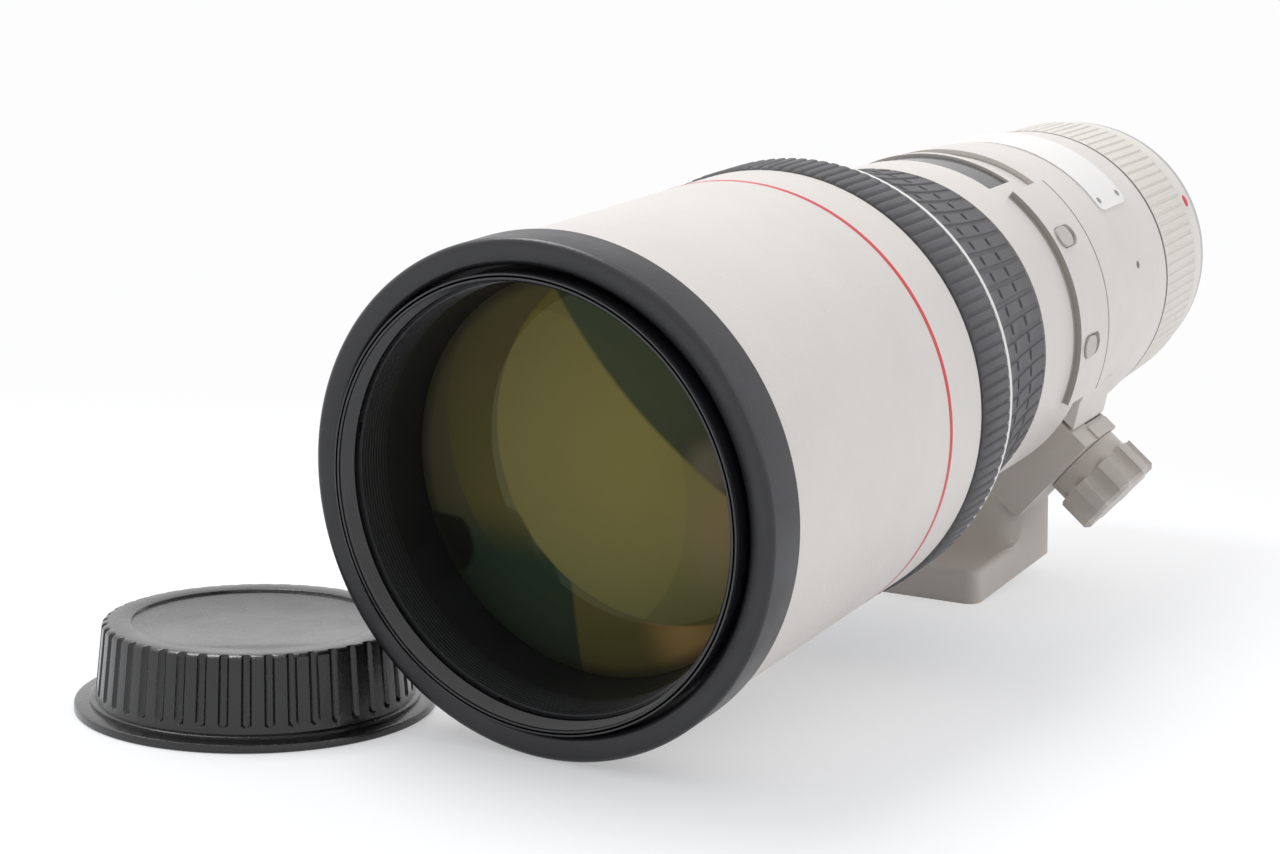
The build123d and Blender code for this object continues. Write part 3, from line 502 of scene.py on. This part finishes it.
rear_ribs = lathe("rear_ring_ribs", rear_profile, ring_white, "barrel",
                  rib_angles(REAR_RIBS, (0.0, 0.12, 0.62, REAR_GROOVE_START)),
                  radius=rear_radius, sharp=20)
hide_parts("rear_ring")

# The switch panel's front wall and a strip at its foot, painted darker as painted shade, and the thin
# line behind it, painted dark as shade in the gap
PANEL_START, PANEL_END, PANEL_STEPS = 36.2, 111.8, 60
panel_angles = [
    PANEL_START + (PANEL_END - PANEL_START) * k / PANEL_STEPS for k in range(PANEL_STEPS + 1)
]
panel_wall_shade_profile = [
    (152.7, 36.9), (152.75, 36.94), (153.55, 36.94), (153.66, 37.0), (153.66, 38.22), (153.7, 38.3),
]
panel_wall_shade = lathe("panel_front_painted_shade", panel_wall_shade_profile, panel_painted_shade, "barrel", panel_angles,
                   closed=False, sharp=40)

panel_line_profile = [(170.12, 38.28), (170.15, 38.33), (170.45, 38.33), (170.5, 38.2)]
panel_line = lathe("panel_rear_line", panel_line_profile, screw_grey_and_painted_shade, "barrel", panel_angles,
                   closed=False, sharp=40)

# White band between the hood's rubber and the focus ring
band_profile = [(100.1, 43.7), (100.15, 44.0), (101.2, 44.0), (101.25, 43.7)]
band = lathe("white_band", band_profile, band_white, "barrel")

# Thin dark rings of painted shade where the rubber meets the hood and where the rear ring meets its
# barrel
grip_edge_shade_profile = [(86.45, 43.8), (86.5, 43.85), (87.2, 43.85), (87.2, 43.3)]
grip_edge_shade = lathe("grip_edge_painted_shade", grip_edge_shade_profile, drum_black_and_edge_shade, "hood")
rear_gap_shade_profile = [(221.1, 34.02), (221.13, 34.11), (222.02, 34.03), (222.28, 33.6), (222.3, 33.0)]
rear_gap_shade = lathe("rear_ring_gap_shade", rear_gap_shade_profile, gap_shade_grey, "barrel", sharp=60)

# Rounded bead on the filter ring's front edge
bead_profile = [
    (-0.6, 39.53), (-1.45, 39.53), (-1.7, 39.42), (-1.8, 39.2), (-1.8, 38.85), (-1.7, 38.6),
    (-1.45, 38.47), (-1.1, 38.46),
]
bead = lathe("filter_rim_bead", bead_profile, trim_black, "barrel", sharp=60)

# Thin red line round the hood
stripe_profile = [(71.85, 43.8), (71.9, 43.83), (73.05, 43.83), (73.1, 43.8)]
stripe = lathe("hood_stripe", stripe_profile, red_line, "hood")

# Filter thread
THREAD_START, THREAD_PITCH, THREAD_TURNS = -1.4, 0.75, 5
THREAD_ROOT, THREAD_CREST = 38.45, 38.0
thread = []
for k in range(THREAD_TURNS):
    thread.append((THREAD_START + k * THREAD_PITCH, THREAD_ROOT))
    thread.append((THREAD_START + k * THREAD_PITCH + 0.37, THREAD_CREST))
thread.append((THREAD_START + THREAD_TURNS * THREAD_PITCH, THREAD_ROOT))
filter_thread = lathe("filter_thread_turns", thread, trim_black, "barrel", sharp=10)

# Fine steps inside the trim ring, each narrower than the one before it
TRIM_STEPS, TRIM_START, TRIM_PITCH, TRIM_TREAD = 14, 2.7, 0.72, 0.5
TRIM_RADIUS, TRIM_TAPER, TRIM_CREST, TRIM_ROOT = 37.55, 0.036, 0.02, 0.25
steps = []
for k in range(TRIM_STEPS):
    start = TRIM_START + k * TRIM_PITCH
    base = TRIM_RADIUS - TRIM_TAPER * k
    steps.append((start, base - TRIM_CREST))
    steps.append((start + TRIM_TREAD, base - TRIM_CREST))
    steps.append((start + TRIM_TREAD, base - TRIM_ROOT))
    steps.append((start + TRIM_PITCH, base - TRIM_ROOT))
trim_steps = lathe("trim_ring_steps", steps, funnel_black, "barrel", sharp=10)

# Front glass: a smooth bulging face
GLASS_RADIUS, GLASS_EDGE, GLASS_RISE, GLASS_STEPS = 36.15, 19.5, 3.5, 32
glass_profile = []
for k in range(GLASS_STEPS + 1):
    r = GLASS_RADIUS * k / GLASS_STEPS
    s = GLASS_EDGE - GLASS_RISE * (1 - (r / GLASS_RADIUS) ** 2)
    glass_profile.append((s, max(r, 0.01)))
front_face = lathe("front_glass_face", glass_profile, glass, "barrel", sharp=60)
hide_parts("front_glass")

# Nameplate: a bare enamelled plate with rounded corners, bent round the barrel
PLATE_SPAN, PLATE_FRONT, PLATE_BACK, PLATE_CORNER = 53.5, 192.0, 208.0, 2.0
PLATE_FACE, PLATE_SIDE, PLATE_ROOT, PLATE_BEVEL = 35.43, 35.36, 35.1, 0.12
PLATE_STEPS = 96


def plate_mesh():
    verts, faces = [], []
    for k in range(PLATE_STEPS + 1):
        angle = -PLATE_SPAN + 2 * PLATE_SPAN * k / PLATE_STEPS
        from_end = (PLATE_SPAN - abs(angle)) * math.pi / 180 * PLATE_FACE
        inset = 0.0
        if from_end < PLATE_CORNER:
            inset = PLATE_CORNER - math.sqrt(PLATE_CORNER**2 - (PLATE_CORNER - from_end) ** 2)
        front, rear = PLATE_FRONT + inset, PLATE_BACK - inset
        section = (
            (front, PLATE_ROOT), (front, PLATE_SIDE), (front + PLATE_BEVEL, PLATE_FACE),
            (rear - PLATE_BEVEL, PLATE_FACE), (rear, PLATE_SIDE), (rear, PLATE_ROOT),
        )
        verts += [point(s, r, angle) for s, r in section]
    for k in range(PLATE_STEPS):
        for j in range(5):
            faces.append((k * 6 + j, k * 6 + j + 1, k * 6 + j + 7, k * 6 + j + 6))
    faces.append(tuple(range(6)))
    faces.append(tuple(PLATE_STEPS * 6 + j for j in reversed(range(6))))
    return verts, faces


name_plate = new_mesh("bare_nameplate", *plate_mesh(), plate, "barrel")
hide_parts("nameplate")


# Small round heads: the index dot, a screw, and the nameplate's rivets
def outward(angle):
    """The directions out of the barrel and along its surface at an angle round it."""
    turn = math.radians(angle)
    out = Vector((math.sin(turn), 0, math.cos(turn)))
    side = Vector((math.cos(turn), 0, -math.sin(turn)))
    return out, side


def dome(verts, faces, s, angle, base, radius, rise, sides=20, rings=4):
    """A low round head on the barrel's surface."""
    out, side = outward(angle)
    along = Vector((0, 1, 0))
    centre = out * base + Vector((0, s - FLANGE, 0))
    first = len(verts)
    for ring in range(rings):
        tilt = math.pi / 2 * ring / rings
        for k in range(sides):
            a = 2 * math.pi * k / sides
            reach = (side * math.cos(a) + along * math.sin(a)) * (radius * math.cos(tilt))
            verts.append(tuple((centre + out * (rise * math.sin(tilt)) + reach) * MM))
    verts.append(tuple((centre + out * rise) * MM))
    for ring in range(rings - 1):
        low, high = first + ring * sides, first + (ring + 1) * sides
        for k in range(sides):
            n = (k + 1) % sides
            faces.append((low + k, low + n, high + n, high + k))
    top = len(verts) - 1
    last = first + (rings - 1) * sides
    for k in range(sides):
        faces.append((last + k, last + (k + 1) % sides, top))


dot_verts, dot_faces = [], []
dome(dot_verts, dot_faces, 247.2, 63.0, 32.95, 1.6, 0.45)
red_dot = new_mesh("mount_index_dot", dot_verts, dot_faces, red_line, "barrel", sharp=60)
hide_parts("mount_dot")

screw_verts, screw_faces = [], []
dome(screw_verts, screw_faces, 200.3, 77.0, 35.08, 0.9, 0.12)
screw = new_mesh("barrel_screw", screw_verts, screw_faces, screw_grey_and_painted_shade, "barrel", sharp=60)

# Painted shade on the floors of the two switches' slots: dark patches where the recesses lie in shade
SLOT_MIDDLE, SLOT_LENGTH, SLOT_WIDTH, SLOT_RADIUS, SLOT_STEPS = 160.2, 9.4, 4.8, 37.08, 10
SLOT_ANGLES = (56.8, 93.2)


def slot_shade_patch(verts, faces, angle):
    """A flat patch with round ends, along the barrel."""
    out, side = outward(angle)
    first = len(verts)
    for end in (1, -1):
        for k in range(SLOT_STEPS + 1):
            a = math.pi * k / SLOT_STEPS - math.pi / 2
            reach = (SLOT_LENGTH - SLOT_WIDTH) / 2 + SLOT_WIDTH / 2 * math.cos(a)
            y = SLOT_MIDDLE - FLANGE + end * reach
            across = side * (SLOT_WIDTH / 2 * math.sin(a) * end)
            verts.append(tuple((out * SLOT_RADIUS + across + Vector((0, y, 0))) * MM))
    faces.append(tuple(range(first, len(verts))))


slot_shade_verts, slot_shade_faces = [], []
for slot_shade_angle in SLOT_ANGLES:
    slot_shade_patch(slot_shade_verts, slot_shade_faces, slot_shade_angle)
slot_shades = new_mesh("switch_slot_painted_shade", slot_shade_verts, slot_shade_faces, screw_grey_and_painted_shade, "barrel", flat=True)

RIVET_INSET, RIVET_TURN, RIVET_SINK = 2.2, 4.2, 0.05
rivet_verts, rivet_faces = [], []
for rivet_s in (PLATE_FRONT + RIVET_INSET, PLATE_BACK - RIVET_INSET):
    for rivet_angle in (-PLATE_SPAN + RIVET_TURN, PLATE_SPAN - RIVET_TURN):
        dome(rivet_verts, rivet_faces, rivet_s, rivet_angle, PLATE_FACE - RIVET_SINK, 0.85, 0.3)
rivets = new_mesh("nameplate_rivets", rivet_verts, rivet_faces, steel, "barrel", sharp=60)

# Rear cap: round flutes with rounded lower ends, a raised rim and a bare recessed top
CAP_FLUTES = 45
CAP_PLACE = Vector((-62.42, -254.3, -44.949))
FLUTE_SHARE, FLUTE_DEPTH, FLUTE_LOW, FLUTE_END = 0.46, 0.72, 3.3, 1.0
WALL_TOP_HEIGHTS = (12.0, 8.0, 5.4, 4.8, 4.3, 4.05, 3.8, 3.6, 3.45, 3.35, 3.2, 2.6)
WALL_RADIUS, WALL_TAPER, WALL_LOW, WALL_HEIGHT = 28.9, 1.3, 2.3, 12.9
cap_up = Vector((0, 15 / 147.1, 1)).normalized()
cap_side = Vector((1, 0, 0))
cap_back = cap_up.cross(cap_side)
# Rows of height over the floor, radius, and share of the flutes' depth
cap_rows = [
    (15.2, 0.01, 0), (15.2, 22.1, 0), (15.26, 22.3, 0), (15.7, 22.45, 0), (15.8, 22.65, 0),
    (15.8, 26.2, 0), (15.77, 26.75, 0.3), (15.62, 27.2, 0.75), (15.2, 27.6, 1),
]
for h in WALL_TOP_HEIGHTS:
    cap_rows.append((h, WALL_RADIUS - WALL_TAPER * (h - WALL_LOW) / WALL_HEIGHT, 1))
cap_rows += [
    (2.3, 28.95, 0), (2.25, 29.75, 0), (2.1, 29.98, 0), (1.65, 30.0, 0), (1.6, 30.3, 0),
    (1.55, 32.2, 0), (1.4, 32.55, 0), (1.15, 32.67, 0), (0.15, 32.67, 0), (0.0, 32.5, 0),
    (0.0, 27.75, 0), (0.2, 27.7, 0), (4.8, 27.7, 0), (4.8, 26.3, 0), (13.2, 26.3, 0),
    (13.2, 0.01, 0),
]
flute_marks = [FLUTE_SHARE * k / 8 for k in range(9)] + [0.64, 0.82]
cap_angles = rib_angles(CAP_FLUTES, flute_marks)
cap_verts, cap_faces = [], []
for h, r, flute in cap_rows:
    ends = min(1.0, max(0.0, (h - FLUTE_LOW) / FLUTE_END))
    reach = math.sqrt(1 - (1 - ends) ** 2)
    for angle in cap_angles:
        off = abs(2 * pitch_share(angle, CAP_FLUTES) / FLUTE_SHARE - 1)
        hollow = math.sqrt(max(0.0, 1 - (off / max(reach, 0.01)) ** 2))
        sunk = FLUTE_DEPTH * flute * reach * hollow
        turn = math.radians(angle)
        out = cap_side * math.cos(turn) + cap_back * math.sin(turn)
        cap_verts.append(tuple((CAP_PLACE + cap_up * h + out * (r - sunk)) * MM))
around = len(cap_angles)
for i in range(len(cap_rows) - 1):
    for j in range(around):
        k = (j + 1) % around
        cap_faces.append((i * around + j, (i + 1) * around + j, (i + 1) * around + k, i * around + k))
fluted_cap = new_mesh("rear_cap_fluted", cap_verts, cap_faces, cap_plastic, "cap", sharp=32)
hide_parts("rear_cap")

# Floor. The lens stands on its hood's rim and its foot, so the floor leans by this slope.
HOOD_RIM, FOOT_DEPTH, RIM_STATION, FOOT_STATION = 45.0, 60.0, 0.9, 148.0
FLOOR_SIZE = 14.0
slope = (FOOT_DEPTH - HOOD_RIM) / (FOOT_STATION - RIM_STATION)
floor_up = Vector((0, slope, 1)).normalized()
bpy.ops.mesh.primitive_plane_add(size=FLOOR_SIZE)
floor = bpy.context.object
floor.name = "floor"
floor_place = Matrix.Translation((0, (RIM_STATION - FLANGE) * MM, -HOOD_RIM * MM))
floor.matrix_world = floor_place @ floor_up.to_track_quat("Z", "Y").to_matrix().to_4x4()
BACKDROP = rgb(253, 253, 254)


def floor_material():
    """Near-white matt paper that turns to the white backdrop further from the lens."""
    mat, tree, paper = new_material("floor")
    paper.inputs["Base Color"].default_value = rgb(246, 247, 249)
    paper.inputs["Roughness"].default_value = 0.75
    paper.inputs["Specular IOR Level"].default_value = 0.15
    far_white = tree.nodes.new("ShaderNodeEmission")
    far_white.inputs["Color"].default_value = BACKDROP
    far_white.inputs["Strength"].default_value = 1.0
    reach = vector_math(tree, "DISTANCE", coordinates(tree), (0.05, 0.12, 0.0))["Value"]
    away = remap(tree, reach, 0.2, 0.5, 0.4, 1.0, True)
    mix = tree.nodes.new("ShaderNodeMixShader")
    link(tree, both(tree, away, shows_backdrop(tree)), mix.inputs["Fac"])
    link(tree, paper.outputs["BSDF"], mix.inputs[1])
    link(tree, far_white.outputs["Emission"], mix.inputs[2])
    link(tree, mix.outputs["Shader"], tree.nodes["Material Output"].inputs["Surface"])
    return mat


floor.data.materials.append(floor_material())

# Lamps and world
LAMP_AIM = Vector((0, -0.12, 0))
SKY, DARK_FRONT = (0.88, 0.89, 0.905, 1.0), (0.26, 0.265, 0.27, 1.0)
DARK_TOWARD = Vector((0.3, -0.95, 0.12)).normalized()


def softbox(name, place, size, power):
    data = bpy.data.lights.new(name, "AREA")
    data.shape = "RECTANGLE"
    data.size, data.size_y = size, size
    data.energy = power
    obj = bpy.data.objects.new(name, data)
    bpy.context.scene.collection.objects.link(obj)
    obj.location = place
    obj.rotation_euler = (LAMP_AIM - Vector(place)).to_track_quat("-Z", "Y").to_euler()


softbox("top_light", (-0.6, 0.1, 1.3), 0.7, 12.0)
softbox("right_light", (1.5, 0.1, 0.75), 1.0, 2.5)

world = bpy.data.worlds.new("world")
bpy.context.scene.world = world
world.use_nodes = True
sky_tree = world.node_tree
sky_tree.nodes.clear()
toward = vector_math(sky_tree, "DOT_PRODUCT", coordinates(sky_tree, "Generated"), DARK_TOWARD)
darker = remap(sky_tree, toward["Value"], 0.25, 0.9, 0.0, 1.0, True)
lighting = blend_color(sky_tree, darker, SKY, DARK_FRONT)
background = sky_tree.nodes.new("ShaderNodeBackground")
world_output = sky_tree.nodes.new("ShaderNodeOutputWorld")
shown = blend_color(sky_tree, shows_backdrop(sky_tree), lighting, BACKDROP)
link(sky_tree, shown, background.inputs["Color"])
link(sky_tree, background.outputs["Background"], world_output.inputs["Surface"])
